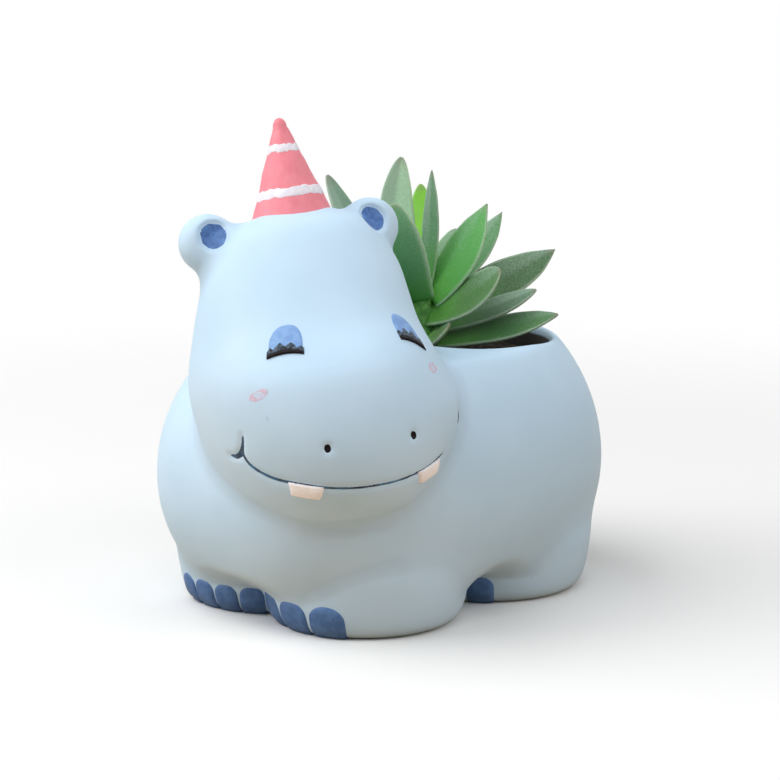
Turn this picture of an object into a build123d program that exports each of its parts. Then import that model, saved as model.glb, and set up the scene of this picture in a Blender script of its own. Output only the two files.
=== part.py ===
# Hippo-shaped resin planter with a party hat and a potted succulent.
# Millimetres, +Z up. The origin is on the ground, midway between the four feet.
# The body faces -Y and its left side is +X. The head is turned to its own left.
import os
from math import copysign, cos, pi, radians, sin

from build123d import *

os.makedirs("parts", exist_ok=True)

# Torso: level sections from the ground up, each with a width and a reach to the front and to the back
base_width, base_front, base_back = 68.0, 45.0, 45.0
belly_height = 37.0
belly_width, belly_front, belly_back = 110.0, 70.5, 68.0
shoulder_height = 61.0
shoulder_width, shoulder_front, shoulder_back = 104.0, 63.5, 62.0
rim_height = 76.5
rim_width, rim_front, rim_back = 84.0, 48.0, 53.0
torso_fullness = 2.5

# Planting well and its drain
well_floor = 14.0
well_centre = 24.5
mouth_width, mouth_length = 72.0, 49.0
floor_width, floor_length = 58.0, 40.0
drain_diameter = 9.0
mouth_overrun = 4.0

# Feet and toenails
foot_track = 37.5
foot_base = 53.7
foot_radius = 29.0
foot_edge_round = 6.0
foot_height = 30.0
foot_bulge = 1.5
nail_lift = 0.4
nail_relief = 0.5
nail_depth = 1.0
# Each foot's nails: how many show, their pitch and turn in degrees, then the width and height of one
toenails = {
    "front_left": (3, 24.5, -1.0, 11.8, 10.0),
    "front_right": (4, 17.0, -4.3, 8.4, 8.8),
    "rear_left": (1, 0.0, 37.5, 8.0, 9.0),
    "rear_right": (1, 0.0, -37.5, 8.0, 9.0),
}

# Head, in its own plane: +Z out of the crown, -Y the way it faces
head_seat = (22.2, -40.8, 32.0)
head_turn = 61.5
head_lean = 12.0
head_roll = 5.0
head_fullness = 2.15
head_sections = [
    (0.0, 28.0, 24.0, 10.0),
    (5.0, 47.0, 37.0, 15.0),
    (14.0, 62.0, 44.0, 18.0),
    (25.0, 71.0, 46.5, 21.0),
    (39.0, 75.5, 45.0, 24.0),
    (57.0, 68.0, 31.0, 31.0),
    (73.0, 56.0, 21.0, 31.0),
    (83.0, 42.0, 14.0, 24.0),
    (88.0, 24.0, 7.0, 15.0),
]

# Face, measured on the front of the head: x to its left, height above the chin
face_reach = 70.0
paint_relief = 0.3
paint_depth = 0.8
eye_spread = 17.8
eye_heights = {"left": 46.8, "right": 48.6}
lid_width, lid_height = 8.4, 9.2
lash_height = 2.4
cheek_spread, cheek_level = 26.0, 39.0
cheek_width, cheek_height = 6.5, 4.2
nostril_spread, nostril_level = 12.2, 22.2
nostril_width, nostril_height = 1.9, 2.7
mouth_line_width = 1.0
mouth_curve = [(0.0, 10.2), (10.0, 10.8), (19.0, 13.4), (26.5, 17.8), (32.0, 24.0)]
tooth_spread, tooth_top = 17.3, 12.6
tooth_width, tooth_height = 7.2, 4.0
tooth_slant = 12.0
tooth_corner = 0.8

# Ears
ear_spread, ear_set_back, ear_level = 25.0, 5.0, 82.5
ear_radius = 8.8
ear_thickness = 12.0
ear_edge_round = 5.4
ear_splay = 8.0
ear_dish_radius = 4.6
ear_dish_depth = 2.2
ear_paint = 0.8

# Party hat
hat_offset = (0.5, 4.0)
hat_level = 86.0
hat_radius = 11.8
hat_height = 30.0
hat_tip_radius = 2.0
hat_tip_round = 1.6
hat_sink = 4.0
spigot_radius, spigot_length = 5.0, 6.0
stripe_levels = [(6.1, 9.6), (20.3, 23.4)]
stripe_relief = 0.3
stripe_depth = 0.7

# Planting
soil_gap = 0.6
soil_top = 70.5
stem_centre = 16.0
stem_radius, stem_tip_radius = 6.0, 2.6
stem_top = 92.0
stem_root = 56.0
leaf_thickness = 3.0
leaf_bite = 1.2
leaf_bend_out, leaf_bend_up = 0.6, 0.4
# Each leaf: name, heading from +X, root height, reach from the stem, tip height, width, roll, outward bow
leaves = [
    ("outer_leaf_1", 32.0, 74.0, 41.5, 83.2, 13.0, 25.0, 0.0),
    ("outer_leaf_2", 346.0, 75.5, 13.4, 79.7, 10.0, 45.0, 0.0),
    ("outer_leaf_3", 90.0, 74.5, 35.0, 88.0, 12.0, 15.0, 0.0),
    ("outer_leaf_4", 141.0, 74.0, 37.0, 88.0, 12.0, 0.0, 0.0),
    ("outer_leaf_5", 194.0, 74.0, 33.0, 86.0, 12.0, 0.0, 0.0),
    ("middle_leaf_1", 8.0, 82.5, 28.3, 97.7, 14.0, 50.0, 3.0),
    ("middle_leaf_2", 38.0, 77.8, 34.4, 89.8, 9.6, 28.0, 0.0),
    ("middle_leaf_3", 66.0, 82.8, 43.9, 99.0, 13.5, 42.0, 0.0),
    ("middle_leaf_4", 112.0, 80.0, 28.0, 104.0, 12.0, 10.0, 0.0),
    ("middle_leaf_5", 166.0, 79.0, 31.0, 102.0, 12.0, 0.0, 0.0),
    ("middle_leaf_6", 250.0, 80.0, 20.0, 98.0, 11.0, 0.0, 0.0),
    ("inner_leaf_1", 222.0, 83.0, 28.7, 123.7, 12.0, -30.0, 0.0),
    ("inner_leaf_2", 204.0, 87.6, 6.8, 129.0, 11.4, -50.0, 7.0),
    ("inner_leaf_3", 86.0, 86.0, 33.1, 109.8, 9.0, 40.0, 0.0),
    ("inner_leaf_4", 42.0, 86.8, 19.3, 115.3, 13.6, 42.0, 0.0),
    ("inner_leaf_5", 281.0, 87.0, 15.0, 116.8, 14.5, 10.0, 3.0),
    ("inner_leaf_6", 72.0, 90.8, 3.1, 125.2, 5.2, 35.0, 1.0),
    ("inner_leaf_7", 136.0, 91.0, 16.0, 119.2, 8.6, 20.0, 5.0),
]
leaf_stations = [(0.0, 0.28, 0.8), (0.3, 0.78, 1.0), (0.6, 1.0, 0.95), (0.86, 0.62, 0.7), (1.0, 0.14, 0.4)]

outline_half = 8


# Points round an oval, from its +X side by way of the back
def oval_points(width, front, back, fullness, centre=0.0):
    points = []
    for step in range(2 * outline_half):
        turn = pi * step / outline_half
        across, along = cos(turn), sin(turn)
        reach = back if along > 0 else front
        x = width / 2 * copysign(abs(across) ** (2 / fullness), across)
        y = reach * copysign(abs(along) ** (2 / fullness), along)
        points.append((x, centre + y))
    return points


# Torso shell
torso_sections = [
    (0.0, base_width, base_front, base_back),
    (belly_height, belly_width, belly_front, belly_back),
    (shoulder_height, shoulder_width, shoulder_front, shoulder_back),
    (rim_height, rim_width, rim_front, rim_back),
]

with BuildPart() as torso:
    for height, width, front, back in torso_sections:
        with BuildSketch(Plane.XY.offset(height)):
            with BuildLine():
                Spline(*oval_points(width, front, back, torso_fullness), periodic=True)
            make_face()
    loft()


def well_outline(level, gap):
    part_way = (level - well_floor) / (rim_height - well_floor)
    width = floor_width + (mouth_width - floor_width) * part_way - 2 * gap
    reach = (floor_length + (mouth_length - floor_length) * part_way) / 2 - gap
    return oval_points(width, reach, reach, torso_fullness, well_centre)


with BuildPart() as well:
    for level in (well_floor, rim_height + mouth_overrun):
        with BuildSketch(Plane.XY.offset(level)):
            with BuildLine():
                Spline(*well_outline(level, 0), periodic=True)
            make_face()
    loft()


# One foot, its toes to -Y
def foot_solid(growth):
    with BuildPart() as column:
        with BuildSketch(Plane.XZ):
            with BuildLine():
                Spline(
                    (foot_radius - foot_edge_round + growth, 0),
                    (foot_radius + growth, foot_edge_round),
                    (foot_radius + foot_bulge + growth, foot_height / 2),
                    (foot_radius - foot_bulge + growth, foot_height),
                    tangents=((1, 0), (-0.35, 1)),
                )
                Polyline(
                    (foot_radius - foot_edge_round + growth, 0),
                    (0, 0),
                    (0, foot_height),
                    (foot_radius - foot_bulge + growth, foot_height),
                )
            make_face()
        revolve(axis=Axis.Z)
    return column.part


foot = foot_solid(0)

with BuildPart() as nail_band:
    add(foot_solid(nail_relief))
    add(foot_solid(-nail_depth), mode=Mode.SUBTRACT)


def nail_set(count, pitch, turn, width, height):
    with BuildPart() as nails:
        for step in range(count):
            angle = radians(turn + pitch * (step - (count - 1) / 2))
            outward = Vector(sin(angle), -cos(angle), 0)
            with BuildSketch(Plane((0, 0, 0), x_dir=(cos(angle), sin(angle), 0), z_dir=outward)):
                with BuildLine():
                    Polyline(
                        (-width / 2, height - width / 2),
                        (-width / 2, nail_lift),
                        (width / 2, nail_lift),
                        (width / 2, height - width / 2),
                    )
                    ThreePointArc(
                        (width / 2, height - width / 2),
                        (0, height),
                        (-width / 2, height - width / 2),
                    )
                make_face()
            extrude(amount=2 * foot_radius)
        add(nail_band.part, mode=Mode.INTERSECT)
    return nails.part


foot_places = {
    "front_left": Location((foot_track / 2, -foot_base / 2, 0)),
    "front_right": Location((-foot_track / 2, -foot_base / 2, 0)),
    "rear_left": Location((foot_track / 2, foot_base / 2, 0)),
    "rear_right": Location((-foot_track / 2, foot_base / 2, 0)),
}
nails = {corner: nail_set(*toenails[corner]).moved(place) for corner, place in foot_places.items()}

with BuildPart() as pot_body:
    add(torso.part)
    for place in foot_places.values():
        add(foot.moved(place))
    add(well.part, mode=Mode.SUBTRACT)
    for nail in nails.values():
        add(nail, mode=Mode.SUBTRACT)
    with BuildSketch(Plane.XY):
        with Locations((0, well_centre)):
            Circle(drain_diameter / 2)
    extrude(amount=well_floor + 1, mode=Mode.SUBTRACT)

# Head
yaw = radians(head_turn)
facing = Vector(sin(yaw), -cos(yaw), 0)
leftward = Vector(cos(yaw), sin(yaw), 0)
upright = Vector(0, 0, 1)
crownward = upright * cos(radians(head_lean)) - facing * sin(radians(head_lean)) - leftward * sin(radians(head_roll))
head_plane = Plane(origin=head_seat, x_dir=leftward - crownward * leftward.dot(crownward), z_dir=crownward)
face_plane = Plane(origin=head_seat, x_dir=head_plane.x_dir, z_dir=head_plane.y_dir * -1)


def head_solid(growth):
    last = len(head_sections) - 1
    with BuildPart() as form:
        for step, (height, width, front, back) in enumerate(head_sections):
            lift = growth * (step == last) - growth * (step == 0)
            with BuildSketch(head_plane.offset(height + lift)):
                with BuildLine():
                    outline = oval_points(width + 2 * growth, front + growth, back + growth, head_fullness)
                    Spline(*outline[: outline_half + 1], tangents=((0, 1), (0, -1)))
                    Spline(*outline[outline_half:], outline[0], tangents=((0, -1), (0, 1)))
                make_face()
        loft()
    return form.part


skull = head_solid(0)

with BuildPart() as skin:
    add(head_solid(paint_relief))
    add(head_solid(-paint_depth), mode=Mode.SUBTRACT)

sides = {"left": 1, "right": -1}
paint = {}

for side, sign in sides.items():
    with BuildPart() as eyelid:
        with BuildSketch(face_plane):
            with Locations((sign * eye_spread, eye_heights[side] + lash_height)):
                Ellipse(lid_width / 2, lid_height - lash_height)
                Rectangle(lid_width * 2, lid_height * 2, align=(Align.CENTER, Align.MAX), mode=Mode.SUBTRACT)
        extrude(amount=face_reach)
        add(skin.part, mode=Mode.INTERSECT)
    paint["eyelid_" + side] = eyelid.part
    with BuildPart() as eyelash:
        with BuildSketch(face_plane):
            with Locations((sign * eye_spread, eye_heights[side])):
                Rectangle(lid_width, lash_height, align=(Align.CENTER, Align.MIN))
        extrude(amount=face_reach)
        add(skin.part, mode=Mode.INTERSECT)
    paint["eyelash_" + side] = eyelash.part
    with BuildPart() as cheek_mark:
        with BuildSketch(face_plane):
            with Locations((sign * cheek_spread, cheek_level)):
                Ellipse(cheek_width / 2, cheek_height / 2)
        extrude(amount=face_reach)
        add(skin.part, mode=Mode.INTERSECT)
    paint["cheek_mark_" + side] = cheek_mark.part
    with BuildPart() as nostril:
        with BuildSketch(face_plane):
            with Locations((sign * nostril_spread, nostril_level)):
                Ellipse(nostril_width / 2, nostril_height / 2)
        extrude(amount=face_reach)
        add(skin.part, mode=Mode.INTERSECT)
    paint["nostril_" + side] = nostril.part

with BuildPart() as mouth_line:
    right_half = [(-x, z) for x, z in reversed(mouth_curve[1:])]
    with BuildSketch(face_plane):
        with BuildLine():
            Spline(*right_half, *mouth_curve)
        trace(line_width=mouth_line_width)
    extrude(amount=face_reach)
    add(skin.part, mode=Mode.INTERSECT)
    add(torso.part, mode=Mode.SUBTRACT)

for side, sign in sides.items():
    with BuildPart() as tooth:
        with BuildSketch(face_plane):
            with Locations(Location((sign * tooth_spread, tooth_top), sign * tooth_slant)):
                RectangleRounded(tooth_width, tooth_height * 2, tooth_corner)
                Rectangle(tooth_width * 2, tooth_height * 2, align=(Align.CENTER, Align.MIN), mode=Mode.SUBTRACT)
        extrude(amount=face_reach)
        add(skin.part, mode=Mode.INTERSECT)
        add(mouth_line.part, mode=Mode.SUBTRACT)
    paint["tooth_" + side] = tooth.part

paint["mouth_line"] = mouth_line.part

# One ear, its dish towards +Z, and the paint in the dish
with BuildPart() as ear:
    with BuildSketch(Plane.XY.offset(-ear_thickness / 2)):
        Circle(ear_radius)
    extrude(amount=ear_thickness)
    fillet(ear.edges().filter_by(GeomType.CIRCLE), radius=ear_edge_round)

dish_sphere = (ear_dish_radius ** 2 + ear_dish_depth ** 2) / (2 * ear_dish_depth)
dish_centre = ear_thickness / 2 - ear_dish_depth + dish_sphere

with BuildPart() as ear_dish:
    with BuildSketch(Plane.XZ):
        with Locations((0, dish_centre)):
            Circle(dish_sphere)
        Rectangle(dish_sphere * 2, ear_thickness * 6, align=(Align.MAX, Align.CENTER), mode=Mode.SUBTRACT)
    revolve(axis=Axis.Z)

with BuildPart() as ear_inlay:
    with BuildSketch(Plane.XZ):
        with Locations((0, dish_centre)):
            Circle(dish_sphere + ear_paint)
            Circle(dish_sphere, mode=Mode.SUBTRACT)
        Rectangle(dish_sphere * 3, ear_thickness * 6, align=(Align.MAX, Align.CENTER), mode=Mode.SUBTRACT)
        with Locations((0, ear_thickness / 2 - ear_dish_depth - ear_paint)):
            Rectangle(ear_dish_radius, ear_dish_depth, align=(Align.MIN, Align.MIN), mode=Mode.INTERSECT)
    revolve(axis=Axis.Z)

ear_places = {}
for side, sign in sides.items():
    splay = radians(sign * ear_splay)
    ear_facing = face_plane.z_dir * cos(splay) + head_plane.x_dir * sin(splay)
    ear_centre = head_plane.from_local_coords((sign * ear_spread, ear_set_back, ear_level))
    ear_places[side] = Plane(origin=ear_centre, x_dir=head_plane.z_dir, z_dir=ear_facing).location

# Party hat, standing on its own +Z
hat_slope = (hat_radius - hat_tip_radius) / hat_height


def hat_radius_at(level):
    return hat_radius - hat_slope * level


with BuildPart() as hat_form:
    with BuildSketch(Plane.XZ):
        with BuildLine():
            Polyline(
                (0, -hat_sink - spigot_length),
                (spigot_radius, -hat_sink - spigot_length),
                (spigot_radius, -hat_sink),
                (hat_radius, -hat_sink),
                (hat_radius, 0),
                (hat_tip_radius, hat_height),
                (0, hat_height),
                close=True,
            )
        make_face()
    revolve(axis=Axis.Z)
    fillet(hat_form.edges().sort_by(Axis.Z)[-1], radius=hat_tip_round)

hat_place = Plane(
    origin=head_plane.from_local_coords((*hat_offset, hat_level)), x_dir=head_plane.x_dir, z_dir=head_plane.z_dir
).location

stripes = {}
for name, (low, high) in zip(("hat_stripe_lower", "hat_stripe_upper"), stripe_levels):
    with BuildPart() as stripe:
        with BuildSketch(Plane.XZ):
            with BuildLine():
                Polyline(
                    (hat_radius_at(low) - stripe_depth, low),
                    (hat_radius_at(low) + stripe_relief, low),
                    (hat_radius_at(high) + stripe_relief, high),
                    (hat_radius_at(high) - stripe_depth, high),
                    close=True,
                )
            make_face()
        revolve(axis=Axis.Z)
    stripes[name] = stripe.part

with BuildPart() as party_hat:
    add(hat_form.part)
    for band in stripes.values():
        add(band, mode=Mode.SUBTRACT)

with BuildPart() as head:
    add(skull)
    add(torso.part, mode=Mode.SUBTRACT)
    for place in ear_places.values():
        add(ear.part.moved(place))
        add(ear_dish.part.moved(place), mode=Mode.SUBTRACT)
        add(ear_inlay.part.moved(place), mode=Mode.SUBTRACT)
    add(hat_form.part.moved(hat_place), mode=Mode.SUBTRACT)
    for mark in paint.values():
        add(mark, mode=Mode.SUBTRACT)

# Soil, stem and leaves lift out together
with BuildPart() as stem:
    with BuildSketch(Plane.XZ.offset(-stem_centre)):
        with BuildLine():
            Polyline(
                (0, stem_root),
                (stem_radius, stem_root),
                (stem_radius, soil_top),
                (stem_tip_radius, stem_top),
                (0, stem_top),
                close=True,
            )
        make_face()
    revolve(axis=Axis((0, stem_centre, 0), (0, 0, 1)))

with BuildPart() as soil:
    for level in (well_floor, soil_top):
        with BuildSketch(Plane.XY.offset(level)):
            with BuildLine():
                Spline(*well_outline(level, soil_gap), periodic=True)
            make_face()
    loft()
    add(stem.part, mode=Mode.SUBTRACT)


def stem_radius_at(level):
    part_way = max(0, (level - soil_top) / (stem_top - soil_top))
    return stem_radius + (stem_tip_radius - stem_radius) * part_way


def leaf_solid(heading, root_height, reach, tip_height, width, roll, bow):
    out = Vector(cos(radians(heading)), sin(radians(heading)), 0)
    across = Vector(-sin(radians(heading)), cos(radians(heading)), 0)
    axis_point = Vector(0, stem_centre, 0)
    root = axis_point + out * (stem_radius_at(root_height) - leaf_bite) + upright * root_height
    tip = axis_point + out * reach + upright * tip_height
    bend_reach = (tip - root).dot(out) * leaf_bend_out + bow
    bend = root + out * bend_reach + upright * (tip_height - root_height) * leaf_bend_up
    with BuildPart() as blade:
        for part_way, breadth, body in leaf_stations:
            rest = 1 - part_way
            point = root * rest ** 2 + bend * (2 * rest * part_way) + tip * part_way ** 2
            along = (bend - root) * rest + (tip - bend) * part_way
            face_up = along.normalized().cross(across)
            flat = across * cos(radians(roll)) + face_up * sin(radians(roll))
            with BuildSketch(Plane(origin=point, x_dir=flat, z_dir=along)):
                Ellipse(width / 2 * breadth, leaf_thickness / 2 * body)
        loft()
        add(stem.part, mode=Mode.SUBTRACT)
    return blade.part


finished = {"pot_body": pot_body.part, "head": head.part, "party_hat": party_hat.part.moved(hat_place)}
finished.update({name: band.moved(hat_place) for name, band in stripes.items()})
finished.update({"inner_ear_" + side: ear_inlay.part.moved(place) for side, place in ear_places.items()})
finished.update(paint)
finished.update({"toenails_" + corner: nail for corner, nail in nails.items()})
finished["soil"] = soil.part
finished["stem"] = stem.part
for name, *sizes in leaves:
    finished[name] = leaf_solid(*sizes)

for name, piece in finished.items():
    piece.label = name
    export_step(piece, "parts/" + name + ".step")
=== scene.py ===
import math

import bmesh
import bpy
import numpy as np
from mathutils import Matrix, Vector, noise
from mathutils.bvhtree import BVHTree


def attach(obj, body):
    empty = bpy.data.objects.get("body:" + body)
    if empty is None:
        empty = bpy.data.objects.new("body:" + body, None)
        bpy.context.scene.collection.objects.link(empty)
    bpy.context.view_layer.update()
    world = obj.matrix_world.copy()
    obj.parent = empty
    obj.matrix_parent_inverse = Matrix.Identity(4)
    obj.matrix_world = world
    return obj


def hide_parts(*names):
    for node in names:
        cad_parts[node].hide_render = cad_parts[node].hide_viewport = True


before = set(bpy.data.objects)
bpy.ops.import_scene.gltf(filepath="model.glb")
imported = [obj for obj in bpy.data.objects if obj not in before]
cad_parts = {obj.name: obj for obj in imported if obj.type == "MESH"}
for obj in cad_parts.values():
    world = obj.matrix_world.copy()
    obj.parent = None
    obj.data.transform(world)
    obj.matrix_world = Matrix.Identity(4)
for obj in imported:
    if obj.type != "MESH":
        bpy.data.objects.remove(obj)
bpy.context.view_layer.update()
mm = 0.001
print("frame loaded:", len(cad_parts), "nodes")


# shader maths
class Sock:
    def __init__(self, tree, out=None):
        self.tree, self.out = tree, out

    def make(self, kind, settings=None, values=None, output=0):
        node = self.tree.nodes.new("ShaderNode" + kind)
        for key, value in (settings or {}).items():
            if key == "stops":
                stops = node.color_ramp.elements
                while len(stops) < len(value):
                    stops.new(1.0)
                for stop, (place, colour) in zip(stops, value):
                    stop.position, stop.color = place, (*colour[:3], 1.0)
            else:
                setattr(node, key, value)
        for key, value in (values or {}).items():
            if isinstance(value, Sock):
                self.tree.links.new(value.out, node.inputs[key])
            else:
                node.inputs[key].default_value = value
        return Sock(self.tree, node.outputs[output])

    def maths(self, operation, a, b=0.0):
        return self.make("Math", {"operation": operation}, {0: a, 1: b})

    def __add__(self, other): return self.maths("ADD", self, other)
    def __radd__(self, other): return self.maths("ADD", other, self)
    def __sub__(self, other): return self.maths("SUBTRACT", self, other)
    def __rsub__(self, other): return self.maths("SUBTRACT", other, self)
    def __mul__(self, other): return self.maths("MULTIPLY", self, other)
    def __rmul__(self, other): return self.maths("MULTIPLY", other, self)


def linear(red, green, blue):
    def one(value):
        value /= 255.0
        return value / 12.92 if value <= 0.04045 else ((value + 0.055) / 1.055) ** 2.4
    return (one(red), one(green), one(blue), 1.0)


def blendColour(start, share, under, over):
    return start.make("Mix", {"data_type": "RGBA"}, {0: share, 6: under, 7: over}, 2)


def ramp(start, value, low, high):  # 0 below low, 1 above high, eased
    return start.make("MapRange", {"interpolation_type": "SMOOTHSTEP"},
                      {0: value, 1: low, 2: high, 3: 0.0, 4: 1.0})


def newFinish(name, roughness=0.6, specular=0.4):
    finish = bpy.data.materials.new(name)
    finish.use_nodes = True
    shader = finish.node_tree.nodes["Principled BSDF"]
    shader.inputs["Roughness"].default_value = roughness
    shader.inputs["Specular IOR Level"].default_value = specular
    return finish, shader, Sock(finish.node_tree)


def feed(shader, socket, value):
    value.tree.links.new(value.out, shader.inputs[socket])


def bumpFrom(start, height, strength, distance):
    return start.make("Bump", {}, {"Strength": strength, "Distance": distance, "Height": height})


def place(start):  # where a point is on the piece, in metres
    return start.make("TexCoord", {}, {}, 3)


def speckle(start, scale, detail=2.0, rough=0.5):
    return start.make("TexNoise", {}, {"Vector": place(start), "Scale": scale,
                                         "Detail": detail, "Roughness": rough})


def painted(start, name, channel=0):  # one channel of a colour laid on the mesh
    colour = start.make("Attribute", {"attribute_name": name})
    return start.make("SeparateColor", {}, {0: colour}, channel)


# mesh helpers
def newPiece(name, points, faces, finish=None, smooth=True):
    mesh = bpy.data.meshes.new(name)
    mesh.from_pydata([tuple(p) for p in points], [], faces)
    mesh.update()
    piece = bpy.data.objects.new(name, mesh)
    bpy.context.scene.collection.objects.link(piece)
    if smooth:
        mesh.shade_smooth()
    if finish:
        mesh.materials.append(finish)
    return piece


def tube(rings, closedEnds=True):  # faces through equal rings of points
    count, points, faces = len(rings[0]), [p for ring in rings for p in ring], []
    for row in range(len(rings) - 1):
        for step in range(count):
            after = (step + 1) % count
            low, high = row * count, (row + 1) * count
            faces.append((low + step, low + after, high + after, high + step))
    if closedEnds:
        for row, flip in ((0, True), (len(rings) - 1, False)):
            centre = sum((Vector(p) for p in rings[row]), Vector()) / count
            points.append(centre)
            for step in range(count):
                pair = (row * count + step, row * count + (step + 1) % count)
                faces.append((*(reversed(pair) if flip else pair), len(points) - 1))
    return points, faces


def lathe(profile, count):  # turned round z; profile runs from the bottom centre to the top centre
    turns = np.linspace(0, 2 * math.pi, count, endpoint=False)
    rings = [[Vector((r * math.cos(a), r * math.sin(a), z)) for a in turns] for r, z in profile]
    return tube(rings)


def through(stations, count):  # eased run of values through the stations
    table = np.array(stations, float)
    gaps = np.sqrt(((table[1:] - table[:-1]) ** 2).sum(1))
    knots = np.concatenate([[0], np.cumsum(gaps)])
    slopes = np.gradient(table, knots, axis=0)
    out = []
    for at in np.linspace(0, knots[-1], count):
        k = min(np.searchsorted(knots, at, "right") - 1, len(knots) - 2)
        h = knots[k + 1] - knots[k]
        t = (at - knots[k]) / h
        out.append((2 * t**3 - 3 * t**2 + 1) * table[k] + (t**3 - 2 * t**2 + t) * h * slopes[k]
                   + (3 * t**2 - 2 * t**3) * table[k + 1] + (t**3 - t**2) * h * slopes[k + 1])
    return out


def colourOn(mesh, name, values):  # values: one rgba for each point
    layer = mesh.color_attributes.new(name, "FLOAT_COLOR", "POINT")
    layer.data.foreach_set("color", np.asarray(values, np.float32).ravel())


def finishPiece(piece, body, slot, *nodes):
    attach(piece, body)
    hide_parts(*nodes)


# head frame
headPose = {"seat": (22.2, -40.8, 32.0), "turn": 61.5, "lean": 12.0, "roll": 5.0}
yaw, lean, roll = (math.radians(headPose[k]) for k in ("turn", "lean", "roll"))
facing = Vector((math.sin(yaw), -math.cos(yaw), 0))
leftward = Vector((math.cos(yaw), math.sin(yaw), 0))
crown = Vector((0, 0, 1)) * math.cos(lean) - facing * math.sin(lean) - leftward * math.sin(roll)
crown.normalize()
leftAxis = (leftward - crown * leftward.dot(crown)).normalized()
backAxis = crown.cross(leftAxis)
headFrame = Matrix((leftAxis, backAxis, crown)).transposed().to_4x4()
headFrame.translation = Vector(headPose["seat"]) * mm


def headPoint(x, y, z):
    return headFrame @ Vector((x * mm, y * mm, z * mm))


# hippo: torso, feet, head and ears as one cast skin
hippoSet = {
    "voxel": 0.8 * mm, "valleyRounds": 420, "allRounds": 5, "neckFill": 0.1, "headFullness": 2.15,
    "sections": [(0, 28, 24, 10), (5, 47, 37, 15), (14, 62, 44, 18), (25, 71, 46.5, 21), (39, 75.5, 45, 24),
                 (57, 68, 31, 31), (73, 56, 21, 31), (83, 42, 14, 24), (88, 24, 7, 15)],
    "leftTrim": [(14, 0), (20, -0.8), (28, -0.9), (33, 0.6), (37, 2.8), (42, 4.8), (48, 5.8), (53, 5.8),
                 (58, 4.8), (64, 3.5), (70, 2.0), (76, 1.2), (82, 0.5), (88, 0)],
    "feet": {"frontLeft": (18.75, -26.85), "frontRight": (-18.75, -26.85),
             "rearLeft": (18.75, 26.85), "rearRight": (-18.75, 26.85)},
    "earSpot": {1: (22.8, 5.0, 81.8), -1: (-25.4, 5.0, 83.0)},
    "bellyBack": [(0, 0.1), (9.5, 0.1), (12, 1.5), (15, 7), (18, 30)],  # height, reach past the foot
    "well": (38.0, 26.5, 24.5, 74.6),  # half width, half length, middle, soil line
    "earRadius": 8.8, "earHalf": 6.0, "earRound": 5.4,
    "earSplay": 8.0, "dishRadius": 4.7, "dishDepth": 2.0, "dishShift": (1.7, 1.4),
}


def ovalRing(width, front, back, fullness, count):
    ring = []
    for a in np.linspace(0, 2 * math.pi, count, endpoint=False):
        c, s = math.cos(a), math.sin(a)
        reach = back if s > 0 else front
        ring.append((width / 2 * math.copysign(abs(c) ** (2 / fullness), c),
                     reach * math.copysign(abs(s) ** (2 / fullness), s)))
    return ring


def leftHalf(width, z):  # the head is narrower at the eye on its left
    trims = hippoSet["leftTrim"]
    return width / 2 - np.interp(z, [t[0] for t in trims], [t[1] for t in trims])


def skullMesh():
    stations = through(hippoSet["sections"], 46)
    first, last = stations[0], stations[-1]
    under, over = (first[0] - 1.3, *(first[1:] * 0.7)), (last[0] + 1.2, *(last[1:] * 0.7))
    rounded = [under] + [tuple(s) for s in stations] + [over]
    rings = []
    for z, w, f, b in rounded:
        share = leftHalf(w, z) / (w / 2)
        ring = ovalRing(w, f, b, hippoSet["headFullness"], 96)
        rings.append([headPoint(x * share if x > 0 else x, y, z) for x, y in ring])
    return tube(rings)


def earFrame(sign):
    splay = math.radians(sign * hippoSet["earSplay"])
    out = (-backAxis * math.cos(splay) + leftAxis * math.sin(splay)).normalized()
    side = (crown - out * crown.dot(out)).normalized()
    spot = Matrix((side, out.cross(side), out)).transposed().to_4x4()
    spot.translation = headPoint(*hippoSet["earSpot"][sign])
    return spot


def earMesh(sign):
    r, half, soft = hippoSet["earRadius"], hippoSet["earHalf"], hippoSet["earRound"]
    profile = [(0.01, -half)]
    for a in np.linspace(-90, 90, 15):
        lift = soft - half if a < 0 else half - soft
        profile.append((r - soft + soft * math.cos(math.radians(a)), lift + soft * math.sin(math.radians(a))))
    profile += [(t, half) for t in (2.4, 1.2, 0.01)]
    points, faces = lathe(profile, 40)
    spot = earFrame(sign)
    return [spot @ (Vector(p) * mm) for p in points], faces


def dishCentre(sign):  # the painted hollow sits high and toward the crown
    up, inward = hippoSet["dishShift"]
    return earFrame(sign) @ Matrix.Translation(Vector((up, sign * inward, hippoSet["earHalf"])) * mm)


def footRing(spot, reach):  # fills the nail recesses with the foot's own round
    x, y = spot
    rows = [(r + 0.05, z) for z, r in reach]
    profile = [(24.0, rows[0][1])] + rows + [(24.0, rows[-1][1])]
    rings = [[Vector((x + r * math.cos(a), y + r * math.sin(a), z)) * mm
              for a in np.linspace(0, 2 * math.pi, 96, endpoint=False)] for r, z in profile]
    points, faces = tube(rings + [rings[0]], closedEnds=False)
    return points, faces


def treeOf(piece):
    faces = [tuple(p.vertices) for p in piece.data.polygons]
    return BVHTree.FromPolygons([v.co for v in piece.data.vertices], faces)


def footReach():  # foot radius at each height, felt on the CAD body where no nail is
    cad = treeOf(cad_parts["pot_body"])
    x, y = hippoSet["feet"]["frontLeft"]
    way = Vector((math.sin(math.radians(58)), -math.cos(math.radians(58)), 0))
    reach = []
    for z in np.linspace(0.7, 11.0, 14):
        axis = Vector((x, y, z)) * mm
        hit = cad.ray_cast(axis + way * 0.06, -way, 0.06)[0]
        reach.append((z, (hit - axis).length / mm))
    return reach


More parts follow.
